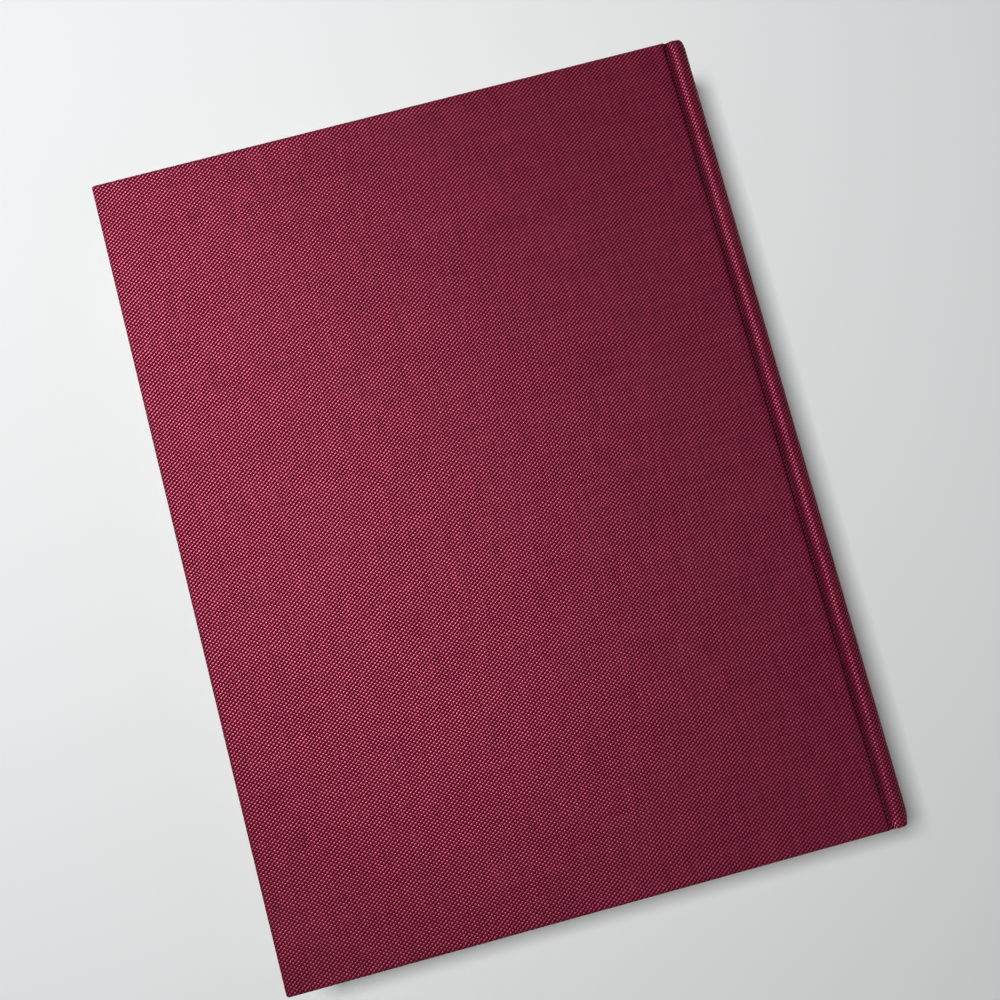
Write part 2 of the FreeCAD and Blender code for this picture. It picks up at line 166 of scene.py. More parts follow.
# How far each leaf stands in or out: a step from section to section, its own, and the knife's wander.
leaf_random = np.random.default_rng(11)
leaf_rows = np.linspace(-1, 1, leaf_count)
section_step = np.repeat(leaf_random.normal(0, 0.035, 12), 11)[:leaf_count]
leaf_jitter = leaf_random.normal(0, 0.028, leaf_count) + section_step
trim_wander = np.convolve(leaf_random.normal(0, 0.06, leaf_count + 8), np.ones(9) / 9, mode="valid")
leaf_uneven = (leaf_jitter + trim_wander) * np.clip((1 - np.abs(leaf_rows)) * 12, 0, 1)


def block_point(leaf, across, height):
    """Place of a point of the pages. height goes from -1 at the tail to 1 at the head. Each leaf's trimmed
    edge stands a few hundredths of a millimetre in or out, evenly along the leaf."""
    leaf, across, height = np.broadcast_arrays(leaf, across, height)
    uneven = np.interp(leaf, leaf_rows, leaf_uneven)
    x, z = leaf_place(leaf, across)
    drift = 0.03 * np.sin(height * 9 + leaf * 5) * (1 - np.abs(leaf))
    x = x + (uneven + drift) * np.clip(1 - across * 20, 0, 1)
    end_uneven = -np.abs(uneven) * 0.8 * (np.abs(height) > 0.999)
    y = height * page_half_height + np.sign(height) * end_uneven
    return np.stack([x, y, z], axis=-1)


across_columns = np.concatenate([[0.0], np.linspace(0.055, 1, 18), np.linspace(1, 2, 34)[1:]])
height_rows = np.linspace(-1, 1, 71)
leaf_measure = leaf_rows * page_half_thick
edge_patches = []
for end in (-1, 1):
    grid = block_point(leaf_rows[:, None], across_columns[None, :], float(end))
    unrolled = np.stack(np.broadcast_arrays(leaf_measure[:, None], grid[..., 0]), axis=-1)
    edge_patches.append((grid, unrolled, end > 0))
    grid = block_point(float(end), across_columns[None, :], height_rows[:, None])
    unrolled = np.stack(np.broadcast_arrays(end * page_half_thick, grid[..., 0]), axis=-1)
    edge_patches.append((grid, unrolled, end < 0))
for share in (0.0, 2.0):
    grid = block_point(leaf_rows[None, :], share, height_rows[:, None])
    unrolled = np.stack(np.broadcast_arrays(leaf_measure[None, :], grid[..., 1]), axis=-1)
    edge_patches.append((grid, unrolled, share > 1))
page_block = make_surface("page_block", edge_patches)


def add_node(tree, kind, wanted, **settings):
    """A new node. wanted gives its inputs by name or number, as values or as other nodes' outputs."""
    made = tree.nodes.new(kind)
    for name, value in settings.items():
        setattr(made, name, value)
    for name, value in wanted.items():
        if isinstance(value, bpy.types.NodeSocket):
            tree.links.new(value, made.inputs[name])
        else:
            made.inputs[name].default_value = value
    return made


def calculate(tree, operation, *values):
    """Output of a Math node on up to three values or outputs."""
    return add_node(tree, "ShaderNodeMath", dict(enumerate(values)), operation=operation).outputs[0]


def mix_colours(tree, factor, first, second):
    """Colour output of first going to second as factor goes from 0 to 1."""
    wanted = {"Factor": factor, 6: first, 7: second}
    return add_node(tree, "ShaderNodeMix", wanted, data_type="RGBA", clamp_factor=True).outputs[2]


def spread(tree, value, low, high, new_low=0.0, new_high=1.0):
    """value, so that low to high becomes new_low to new_high, cut off outside."""
    wanted = {"Value": value, "From Min": low, "From Max": high, "To Min": new_low, "To Max": new_high}
    return add_node(tree, "ShaderNodeMapRange", wanted).outputs[0]


def noise(tree, place, scale, detail=2.0, stretch=(1, 1, 1)):
    """Noise from 0 to 1 at a place, with so many features to the metre, stretched along each axis."""
    scaled = add_node(tree, "ShaderNodeVectorMath", {0: place, 1: stretch}, operation="MULTIPLY").outputs[0]
    wanted = {"Vector": scaled, "Scale": scale, "Detail": detail}
    return add_node(tree, "ShaderNodeTexNoise", wanted).outputs["Fac"]


def new_material(name):
    """A material with only a Principled BSDF and its output, and the tree and shader to wire."""
    made = bpy.data.materials.new(name)
    made.use_nodes = True
    tree = made.node_tree
    tree.nodes.clear()
    shader = tree.nodes.new("ShaderNodeBsdfPrincipled")
    output = tree.nodes.new("ShaderNodeOutputMaterial")
    tree.links.new(shader.outputs[0], output.inputs["Surface"])
    return made, tree, shader


def bump(tree, shader, height, distance, strength=1.0):
    """Wires a height from 0 to 1 to the shader's normal, as a relief this many metres deep."""
    wanted = {"Height": height, "Distance": distance, "Strength": strength}
    made = add_node(tree, "ShaderNodeBump", wanted)
    tree.links.new(made.outputs[0], shader.inputs["Normal"])


def give_material(pieces, material):
    """Puts one material on every slot of the pieces."""
    for piece in pieces:
        piece.data.materials.clear()
        piece.data.materials.append(material)


paper_fibres = bpy.data.node_groups.new("paper fibres", "ShaderNodeTree")
paper_fibres.interface.new_socket("Fibre length", in_out="INPUT", socket_type="NodeSocketFloat")
paper_fibres.interface.new_socket("Cloudiness", in_out="OUTPUT", socket_type="NodeSocketFloat")
paper_fibres.interface.new_socket("Fleck", in_out="OUTPUT", socket_type="NodeSocketFloat")
paper_fibres.interface.new_socket("Height", in_out="OUTPUT", socket_type="NodeSocketFloat")
fibre_in = paper_fibres.nodes.new("NodeGroupInput")
fibre_out = paper_fibres.nodes.new("NodeGroupOutput")
fibre_place = paper_fibres.nodes.new("ShaderNodeTexCoord").outputs["Object"]
fibre_scale = calculate(paper_fibres, "DIVIDE", 1.0, fibre_in.outputs["Fibre length"])
cloud = noise(paper_fibres, fibre_place, 90.0, 3.0)
fibre_lines = noise(paper_fibres, fibre_place, fibre_scale, 4.0, (1, 0.35, 1))
fleck_noise = noise(paper_fibres, fibre_place, calculate(paper_fibres, "MULTIPLY", fibre_scale, 1.7), 0.0)
paper_fibres.links.new(cloud, fibre_out.inputs["Cloudiness"])
paper_fibres.links.new(spread(paper_fibres, fleck_noise, 0.68, 0.78), fibre_out.inputs["Fleck"])
paper_fibres.links.new(fibre_lines, fibre_out.inputs["Height"])


def add_fibres(tree, length):
    """The paper fibres group, with its fibre length in metres."""
    made = add_node(tree, "ShaderNodeGroup", {}, node_tree=paper_fibres)
    made.inputs["Fibre length"].default_value = length
    return made


page_paper, tree, shader = new_material("page_paper")
unrolled_place = add_node(tree, "ShaderNodeUVMap", {}, uv_map="Unrolled").outputs[0]
# The page edges carry painted shade in the gaps between leaves, stronger at random from leaf to leaf and in
# groups, with a darker line of it between the sewn sections.
single_leaves = noise(tree, unrolled_place, 1.0, 1.0, (9000, 55, 1))
leaf_groups = noise(tree, unrolled_place, 1.0, 2.0, (2600, 18, 1))
apart = add_node(tree, "ShaderNodeSeparateXYZ", {0: unrolled_place})
section_count = calculate(tree, "DIVIDE", apart.outputs["X"], section_thick)
in_section = calculate(tree, "PINGPONG", section_count, 0.5)
section_gap_shade = spread(tree, in_section, 0.0, 0.05, 1.0, 0.0)
fibres = add_fibres(tree, 0.0007)
shade = calculate(tree, "MULTIPLY", spread(tree, single_leaves, 0.38, 0.62), 0.50)
grouped = calculate(tree, "MULTIPLY", spread(tree, leaf_groups, 0.35, 0.7), 0.35)
shade = calculate(tree, "ADD", shade, grouped)
shade = calculate(tree, "ADD", shade, calculate(tree, "MULTIPLY", section_gap_shade, 0.25))
page_colour = mix_colours(tree, calculate(tree, "MULTIPLY", shade, 0.55), paper_cream, leaf_gap_shade)
clouded = calculate(tree, "MULTIPLY", fibres.outputs["Cloudiness"], 0.18)
page_colour = mix_colours(tree, clouded, page_colour, paper_aged)
tree.links.new(page_colour, shader.inputs["Base Color"])
shader.inputs["Roughness"].default_value = 0.92
shader.inputs["Specular IOR Level"].default_value = 0.25
leaf_relief = calculate(tree, "SUBTRACT", 1.0, calculate(tree, "MULTIPLY", shade, 0.8))
bump(tree, shader, leaf_relief, 0.00008, 0.8)
give_material([page_block], page_paper)
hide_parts("text_block")
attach(page_block, "pages_and_spine")


# Linings of the back, glued over it in this order: open gauze whose edges reach onto the boards, the two
# head bands, and a strip of brown kraft paper. The case hides them, so they are finished plainly.

gauze_colour = (0.70, 0.66, 0.55, 1)
gauze_gap_colour = (0.30, 0.26, 0.19, 1)
kraft_brown = (0.40, 0.26, 0.14, 1)
kraft_pale = (0.50, 0.34, 0.20, 1)
gauze_pitch = 0.0012  # metres from thread to thread
thread_wander = 0.00032  # metres that a thread strays

thread_weave = bpy.data.node_groups.new("thread weave", "ShaderNodeTree")
for name, kind in (
    ("Place", "NodeSocketVector"),
    ("Warp pitch", "NodeSocketFloat"),
    ("Weft pitch", "NodeSocketFloat"),
    ("Diagonal", "NodeSocketFloat"),
):
    thread_weave.interface.new_socket(name, in_out="INPUT", socket_type=kind)
for name in ("Height", "Warp on top", "Thread tint"):
    thread_weave.interface.new_socket(name, in_out="OUTPUT", socket_type="NodeSocketFloat")
weave_in = thread_weave.nodes.new("NodeGroupInput").outputs
weave_out = thread_weave.nodes.new("NodeGroupOutput").inputs


def weave_math(operation, *values):
    """Output of a Math node in the thread weave group."""
    return calculate(thread_weave, operation, *values)


def round_thread(share):
    """Height of a round thread at a share of its pitch: 0 at both sides and 1 along its middle."""
    off_middle = weave_math("MULTIPLY_ADD", share, 2.0, -1.0)
    return weave_math("SQRT", weave_math("SUBTRACT", 1.0, weave_math("MULTIPLY", off_middle, off_middle)))


def passing_over(along, own_number):
    """1 where a thread lies under the one it crosses and 0 at the next crossing, going as a cosine along
    the thread. The place shifts by one crossing from each thread to its neighbour."""
    shifted = weave_math("SUBTRACT", weave_math("SUBTRACT", along, 0.5), own_number)
    wave = weave_math("COSINE", weave_math("MULTIPLY", shifted, np.pi))
    return weave_math("MULTIPLY_ADD", wave, 0.5, 0.5)


def weave_vector(operation, wanted):
    """Output of a Vector Math node in the thread weave group."""
    return add_node(thread_weave, "ShaderNodeVectorMath", wanted, operation=operation).outputs[0]


# Threads wander a little, so that their rows aren't drawn with a ruler.
wander_noise = {"Vector": weave_in["Place"], "Scale": 240.0, "Detail": 2.0}
wander = add_node(thread_weave, "ShaderNodeTexNoise", wander_noise).outputs["Color"]
wander = weave_vector("SUBTRACT", {0: wander, 1: (0.5, 0.5, 0.5)})
wander = weave_vector("SCALE", {0: wander, "Scale": thread_wander})
place = weave_vector("ADD", {0: weave_in["Place"], 1: wander})
place = add_node(thread_weave, "ShaderNodeSeparateXYZ", {0: place}).outputs
warp_place = weave_math("DIVIDE", place["X"], weave_in["Warp pitch"])
weft_place = weave_math("DIVIDE", place["Y"], weave_in["Weft pitch"])
warp_number = weave_math("FLOOR", warp_place)
weft_number = weave_math("FLOOR", weft_place)
warp_under = passing_over(weft_place, warp_number)
weft_over = passing_over(warp_place, weft_number)
warp_round = round_thread(weave_math("FRACT", warp_place))
weft_round = round_thread(weave_math("FRACT", weft_place))
warp_height = weave_math("MULTIPLY", warp_round, weave_math("SUBTRACT", 1.0, warp_under))
weft_height = weave_math("MULTIPLY", weft_round, weave_math("MULTIPLY_ADD", weft_over, 0.75, 0.05))
# The twist of the threads joins the warp's crossings on one diagonal.
off_diagonal = weave_math("SUBTRACT", weave_math("SUBTRACT", warp_place, weft_place), 1.0)
diagonal = weave_math("COSINE", weave_math("MULTIPLY", off_diagonal, np.pi))
diagonal = weave_math("MULTIPLY_ADD", diagonal, 0.5, 0.5)
higher = weave_math("MAXIMUM", warp_height, weft_height)
diagonal_height = weave_math("MULTIPLY", weave_math("SUBTRACT", diagonal, higher), weave_in["Diagonal"])
thread_weave.links.new(weave_math("ADD", higher, diagonal_height), weave_out["Height"])
over = weave_math("SUBTRACT", warp_height, weft_height)
diagonal_over = weave_math("MULTIPLY", weave_math("SUBTRACT", diagonal, over), weave_in["Diagonal"])
on_top = weave_math("ADD", over, diagonal_over)
thread_weave.links.new(spread(thread_weave, on_top, 0.22, 0.78), weave_out["Warp on top"])
# Each thread takes the dye in its own way, which changes slowly along it.
along_warp = {0: warp_number, 1: weave_math("MULTIPLY", weft_place, 0.06)}
along_weft = {0: weave_math("MULTIPLY", warp_place, 0.06), 1: weft_number, 2: 7.0}
warp_tint, weft_tint = [
    noise(thread_weave, add_node(thread_weave, "ShaderNodeCombineXYZ", along).outputs[0], 0.77, 1.0)
    for along in (along_warp, along_weft)
]
warp_share = weave_math("MULTIPLY", warp_tint, 0.6)
both_tints = weave_math("ADD", warp_share, weave_math("MULTIPLY", weft_tint, 0.4))
thread_weave.links.new(spread(thread_weave, both_tints, 0.32, 0.68), weave_out["Thread tint"])


def add_weave(tree, place, warp_pitch, weft_pitch, diagonal):
    """The thread weave group, with its pitches in metres and how much its diagonal shows, from 0 to 1."""
    made = add_node(tree, "ShaderNodeGroup", {}, node_tree=thread_weave)
    tree.links.new(place, made.inputs["Place"])
    made.inputs["Warp pitch"].default_value = warp_pitch
    made.inputs["Weft pitch"].default_value = weft_pitch
    made.inputs["Diagonal"].default_value = diagonal
    return made.outputs


gauze, tree, shader = new_material("gauze")
gauze_place = add_node(tree, "ShaderNodeTexCoord", {}).outputs["Object"]
apart = add_node(tree, "ShaderNodeSeparateXYZ", {0: gauze_place}).outputs
turned = {0: calculate(tree, "ADD", apart["X"], apart["Z"]), 1: apart["Y"]}
turned = add_node(tree, "ShaderNodeCombineXYZ", turned).outputs[0]
woven = add_weave(tree, turned, gauze_pitch, gauze_pitch, 0.0)
on_thread = spread(tree, woven["Height"], 0.1, 0.6)
tree.links.new(mix_colours(tree, on_thread, gauze_gap_colour, gauze_colour), shader.inputs["Base Color"])
shader.inputs["Roughness"].default_value = 0.95
bump(tree, shader, woven["Height"], 0.0001)
gauze_names = ["spine_mull", "back_mull_flange", "front_mull_flange"]
give_material([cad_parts[name] for name in gauze_names], gauze)

kraft, tree, shader = new_material("kraft_paper")
fibres = add_fibres(tree, 0.0012)
kraft_colour = mix_colours(tree, fibres.outputs["Height"], kraft_brown, kraft_pale)
tree.links.new(kraft_colour, shader.inputs["Base Color"])
shader.inputs["Roughness"].default_value = 0.85
bump(tree, shader, fibres.outputs["Height"], 0.00003)
give_material([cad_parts["spine_lining"]], kraft)


# Head and tail bands: a cotton cord on a tape, worked over with maroon and cream thread, three turns of
# each. The tape is glued to the back of the pages, and the bead sits on their end.

band_from, band_to = -19.4, 19.4  # degrees about the back's centre
stitch_count = 24
band_maroon = (0.24, 0.025, 0.06, 1)
band_cream = (0.74, 0.67, 0.52, 1)
shade_between_plies = (0.1, 0.05, 0.04, 1)
cord_radius = 0.93
tape_height = 5.0  # below the end of the pages


def make_band(name, end):
    """Profiles carried round the back: a rounded bead whose radius swells a little at each stitch, closed
    to a point at both ends, and the flat tape. end is 1 at the head and -1 at the tail."""
    share = np.linspace(0, 1, stitch_count * 8 + 1)[:, None]
    around = np.linspace(0, 2 * np.pi, 19)[None, :]
    turn = np.radians(band_from + (band_to - band_from) * share)
    swell = 1 + 0.07 * np.abs(np.sin(share * stitch_count * np.pi))
    closed = np.sqrt(np.clip(1 - (2 * share - 1) ** 40, 0, 1))
    reach = cord_radius * swell * closed
    radius = back_radius - 0.75 + reach * np.sign(np.cos(around)) * np.abs(np.cos(around)) ** 0.8
    y = end * (page_half_height + 0.95 + reach * np.sign(np.sin(around)) * np.abs(np.sin(around)) ** 0.8)
    turn, radius, y = np.broadcast_arrays(turn, radius, y)
    bead = np.stack(
        [back_centre + radius * np.cos(turn), y, middle_height + radius * np.sin(turn)], axis=-1
    )
    unrolled = np.stack(np.broadcast_arrays(share * stitch_count, around), axis=-1)
    corners_out = np.array([0.02, 0.24, 0.24, 0.02, 0.02])[None, :]
    corners_along = np.array([0, 0, 2, 2, 0])[None, :] * tape_height
    flat_turn = turn[:, :1]
    shrink = np.where((share == 0) | (share == 1), 0.0, 1.0)
    radius = back_radius + 0.13 + (corners_out - 0.13) * shrink
    y = end * (page_half_height - tape_height + (tape_height - corners_along) * shrink)
    flat_turn, radius, y = np.broadcast_arrays(flat_turn, radius, y)
    tape = np.stack(
        [back_centre + radius * np.cos(flat_turn), y, middle_height + radius * np.sin(flat_turn)], axis=-1
    )
    tape_unrolled = np.zeros(tape.shape[:2] + (2,)) + [0.5, 0.0]
    band = make_surface(name, [(bead, unrolled, end < 0), (tape, tape_unrolled, end > 0)])
    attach(band, "pages_and_spine")
    return band


bands = [make_band("worked_head_band", 1), make_band("worked_tail_band", -1)]
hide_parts("head_band")
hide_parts("tail_band")
band_thread, tree, shader = new_material("band_thread")
stitch_place = add_node(tree, "ShaderNodeUVMap", {}, uv_map="Unrolled").outputs[0]
apart = add_node(tree, "ShaderNodeSeparateXYZ", {0: stitch_place}).outputs
stitch = calculate(tree, "MULTIPLY", apart["X"], 1000.0)
three_turns = calculate(tree, "FLOOR", calculate(tree, "DIVIDE", stitch, 3.0))
odd = calculate(tree, "PINGPONG", three_turns, 1.0)
ply = calculate(tree, "SINE", calculate(tree, "MULTIPLY", stitch, 6 * np.pi))
colour = mix_colours(tree, odd, band_maroon, band_cream)
# Painted shade in the grooves between the plies.
colour = mix_colours(tree, spread(tree, ply, -1.0, 1.0, 0.0, 0.3), colour, shade_between_plies)
tree.links.new(colour, shader.inputs["Base Color"])
shader.inputs["Roughness"].default_value = 0.6
shader.inputs["Sheen Weight"].default_value = 0.3
bump(tree, shader, spread(tree, ply, -1.0, 1.0), 0.00006)
give_material(bands, band_thread)


# The boards: grey recycled board, 2.6 mm thick, and a strip of manila card that keeps the spine round.
# They are glued to the cloth, which hides all of them.

board_dark = (0.27, 0.26, 0.24, 1)
board_pale = (0.36, 0.34, 0.31, 1)
board_fleck = (0.10, 0.10, 0.11, 1)
card_buff = (0.60, 0.45, 0.25, 1)
card_pale = (0.66, 0.52, 0.31, 1)

greyboard, tree, shader = new_material("greyboard")
fibres = add_fibres(tree, 0.0015)
board_colour = mix_colours(tree, fibres.outputs["Cloudiness"], board_dark, board_pale)
board_colour = mix_colours(tree, fibres.outputs["Fleck"], board_colour, board_fleck)
tree.links.new(board_colour, shader.inputs["Base Color"])
shader.inputs["Roughness"].default_value = 0.9
bump(tree, shader, fibres.outputs["Height"], 0.00005)
give_material([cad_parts["back_board"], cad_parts["front_board"]], greyboard)

manila, tree, shader = new_material("manila_card")
fibres = add_fibres(tree, 0.001)
card_colour = mix_colours(tree, fibres.outputs["Cloudiness"], card_buff, card_pale)
tree.links.new(card_colour, shader.inputs["Base Color"])
shader.inputs["Roughness"].default_value = 0.8
bump(tree, shader, fibres.outputs["Height"], 0.00003)

card_radii = 31.65, 32.5
card_turn = np.radians(np.linspace(-19.6, 19.6, 41))
card_foot, card_top = -126.2, 128.2  # short of the case, because the cloth's ends are drawn in over it
inner_arc, outer_arc = [
    np.stack([back_centre + r * np.cos(card_turn), middle_height + r * np.sin(card_turn)], axis=1)
    for r in card_radii
]


def card_face(low, high, first_y, last_y):
    """Grid from the line low at one height on the spine to the line high at another."""
    lines = np.stack([np.insert(low, 1, first_y, axis=1), np.insert(high, 1, last_y, axis=1)])
    return lines, lines[..., 1:], False


card_sides = [np.stack([inner_arc[k], outer_arc[k]]) for k in (0, -1)]
spine_card = make_surface(
    "spine_card",
    [
        card_face(outer_arc, outer_arc, card_foot, card_top),
        card_face(inner_arc, inner_arc, card_foot, card_top),
        card_face(inner_arc, outer_arc, card_foot, card_foot),
        card_face(inner_arc, outer_arc, card_top, card_top),
        card_face(card_sides[0], card_sides[0], card_foot, card_top),
        card_face(card_sides[1], card_sides[1], card_foot, card_top),
    ],
)
give_material([spine_card], manila)
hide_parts("spine_inlay")
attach(spine_card, "pages_and_spine")


# The book cloth: one sheet of maroon plain weave whose threads lean along one diagonal, glued over both
# boards and the round spine, pressed into the two joints and turned in all round, with mitred corners. It is
# two meshes here, which meet in the front joint, because a mesh bends across only one hinge.

case_half_height = 130.0
case_edge = -99.9135
edge_round = 0.7  # cloth over a board's edge
corner_round = 1.0  # the same in plan, at a corner
turn_in = 15.0
rim = 4.0  # inside this distance from the edge the cloth is a plain grid
board_stack = 3.4  # a board and its cloth on both faces
spine_radius = 33.0
board_side = 90.3  # just past the board's edge at the joint
turned_in_off = 10.6  # of the turned-in cloth's face, from the middle of the book
joint_bottom = 91.35  # where the cloth lies deepest
joint_middle = 91.5
line_step = 0.02  # between the points of the section's outline
# The first colour below is the low threads' own dye with painted shade in the gaps between the threads.
cloth_dye_and_gap_shade = (0.085, 0.0016, 0.0125, 1)
cloth_float = (0.46, 0.076, 0.135, 1)
# Painted shade for the joints, where the cloth lies in a deep groove.
cloth_joint_shade = (0.016, 0.0004, 0.003, 1)
cloth_dark_thread = (0.030, 0.001, 0.005, 1)
cloth_handled = (0.30, 0.06, 0.10, 1)
silky = 0.75  # how far a raised thread shines in its own colour
warp_pitch = 0.00082
weft_pitch = 0.00061


def smoothed(line, width):
    """The line with each point replaced by the average of its neighbours under a bell curve, this wide
    along the line. Points are evenly spaced, and the line goes straight on past its ends."""
    reach = int(3 * width / line_step)
    bell = np.exp(-0.5 * (np.arange(-reach, reach + 1) * line_step / width) ** 2)
    longer = np.pad(line, ((reach, reach), (0, 0)), mode="reflect", reflect_type="odd")
    return np.stack([np.convolve(longer[:, k], bell / bell.sum(), mode="valid") for k in (0, 1)], axis=1)


def turned_over(line):
    """The same line on the other cover, in the opposite order."""
    return np.stack([line[::-1, 0], 2 * middle_height - line[::-1, 1]], axis=1)


# Outer face of the cloth in a section across the back: over the back cover, down into its joint, over the
# shoulder and the spine, and on to the front cover's fore edge.
over_board = [[case_edge, 28.0], [88.8, 28.0], [90.1, 27.8]]
into_joint = [[90.55, 27.3], [90.9, 25.2], [91.75, 25.0]]
over_shoulder = [arc(bead_centre, 2.45, 180, 92), arc((94.454, 24.0), 3.7, 88, 19.96)]
half_spine = arc((back_centre, middle_height), spine_radius, 19.5, 0)
half_outline = np.concatenate([over_board, into_joint, *over_shoulder, half_spine])
outline = np.concatenate([half_outline, turned_over(half_outline)[1:]])
outline_run = run_along(outline)
even = np.arange(0, outline_run[-1], line_step)
outline = np.stack([np.interp(even, outline_run, outline[:, k]) for k in (0, 1)], axis=1)
outline = smoothed(outline, 0.42)
outline_run = run_along(outline)
sheet_length = outline_run[-1]

# Inner face, on the turned-in cloth: level under a board, and elsewhere as far in as the layers are thick,
# which is the cloth doubled, and on the spine the card as well.
step = np.gradient(outline, axis=0)
outward = np.stack([-step[:, 1], step[:, 0]], axis=1) / np.hypot(step[:, 0], step[:, 1])[:, None]
height_off = np.abs(outline[:, 1] - middle_height)
on_spine = (outline[:, 0] > 92.25).astype(float)
card_share = np.clip((12.6 - height_off) / 1.7, 0, 1) * on_spine
layers = 0.7 + 1.1 * card_share**2 * (3 - 2 * card_share)
inner_line = outline - outward * layers[:, None]
under_board = outline[:, 0] < board_side
cover_side = np.sign(outline[under_board, 1] - middle_height)
inner_line[under_board, 1] = middle_height + cover_side * turned_in_off
inner_line[under_board, 0] = outline[under_board, 0]
in_wall = (outline[:, 0] >= board_side) & (outline[:, 0] < joint_middle) & (height_off > 8)
fixed = np.flatnonzero(~in_wall)
inner_line = np.stack(
    [np.interp(outline_run, outline_run[fixed], inner_line[fixed, k]) for k in (0, 1)], axis=1
)

joint_random = np.random.default_rng(5)
joint_waves = [(joint_random.uniform(0.02, 0.09), joint_random.uniform(0, 6.3)) for _ in range(4)]


def sheet_point(run, y, depth_share):
    """Place of a point of the cloth: on the line from the outer to the inner face at this distance along
    the section. The joint is pressed less deep towards the tail, its depth wanders slowly along it, and its
    ends are nearly level with the board. The ends of the spine are drawn in a little."""
    outer = np.stack([np.interp(run, outline_run, outline[:, k]) for k in (0, 1)], axis=-1)
    inner = np.stack([np.interp(run, outline_run, inner_line[:, k]) for k in (0, 1)], axis=-1)
    x, z = np.moveaxis(outer + (inner - outer) * depth_share[..., None], -1, 0)
    side = np.sign(z - middle_height)
    outer_only = 1 - 0.75 * depth_share  # the turned-in face moves only a quarter as far
    # Up to 0.75 mm less deep towards the tail, and uneven by a few hundredths.
    shallow = 0.75 / (1 + np.exp((y + 92) / 14))
    shallow = shallow + sum(0.045 * np.sin(y * rate * 3 + phase) for rate, phase in joint_waves)
    in_joint = np.exp(-(((x - joint_middle) / 0.85) ** 2)) * (np.abs(z - middle_height) > 9)
    z = z + side * shallow * in_joint * outer_only
    # Over the last 2 mm at the head and tail, up to a quarter of a millimetre below the board.
    near_joint = np.clip((x - 88.5) / 1.5, 0, 1) * np.clip((94.6 - x) / 1.2, 0, 1)
    level_end = near_joint / (1 + np.exp((128.4 - np.abs(y)) / 0.7))
    z = z + side * np.clip(13.75 - np.abs(z - middle_height), 0, 2.6) * level_end * outer_only
    # The spine's ends: in along the spine over the last 12 mm, and round towards the pages at the very end.
    on_back = np.clip((x - 95.8) / 3.0, 0, 1)
    on_back = on_back**2 * (3 - 2 * on_back)
    end = np.where(y > 0, np.clip((y - 127.2) / 2.8, 0, 1), np.clip((-y - 125.6) / 4.4, 0, 1))
    drawn_in = np.where(y > 0, 0.8, 1.1) * np.clip((np.abs(y) - 118) / 12, 0, 1) ** 2
    x = x - np.where(y > 0, 0.6, 1.5) * (1 - np.sqrt(1 - (0.99 * end) ** 2)) * on_back * outer_only
    y = y - np.sign(y) * drawn_in * on_back
    return np.stack([x, y, z], axis=-1)


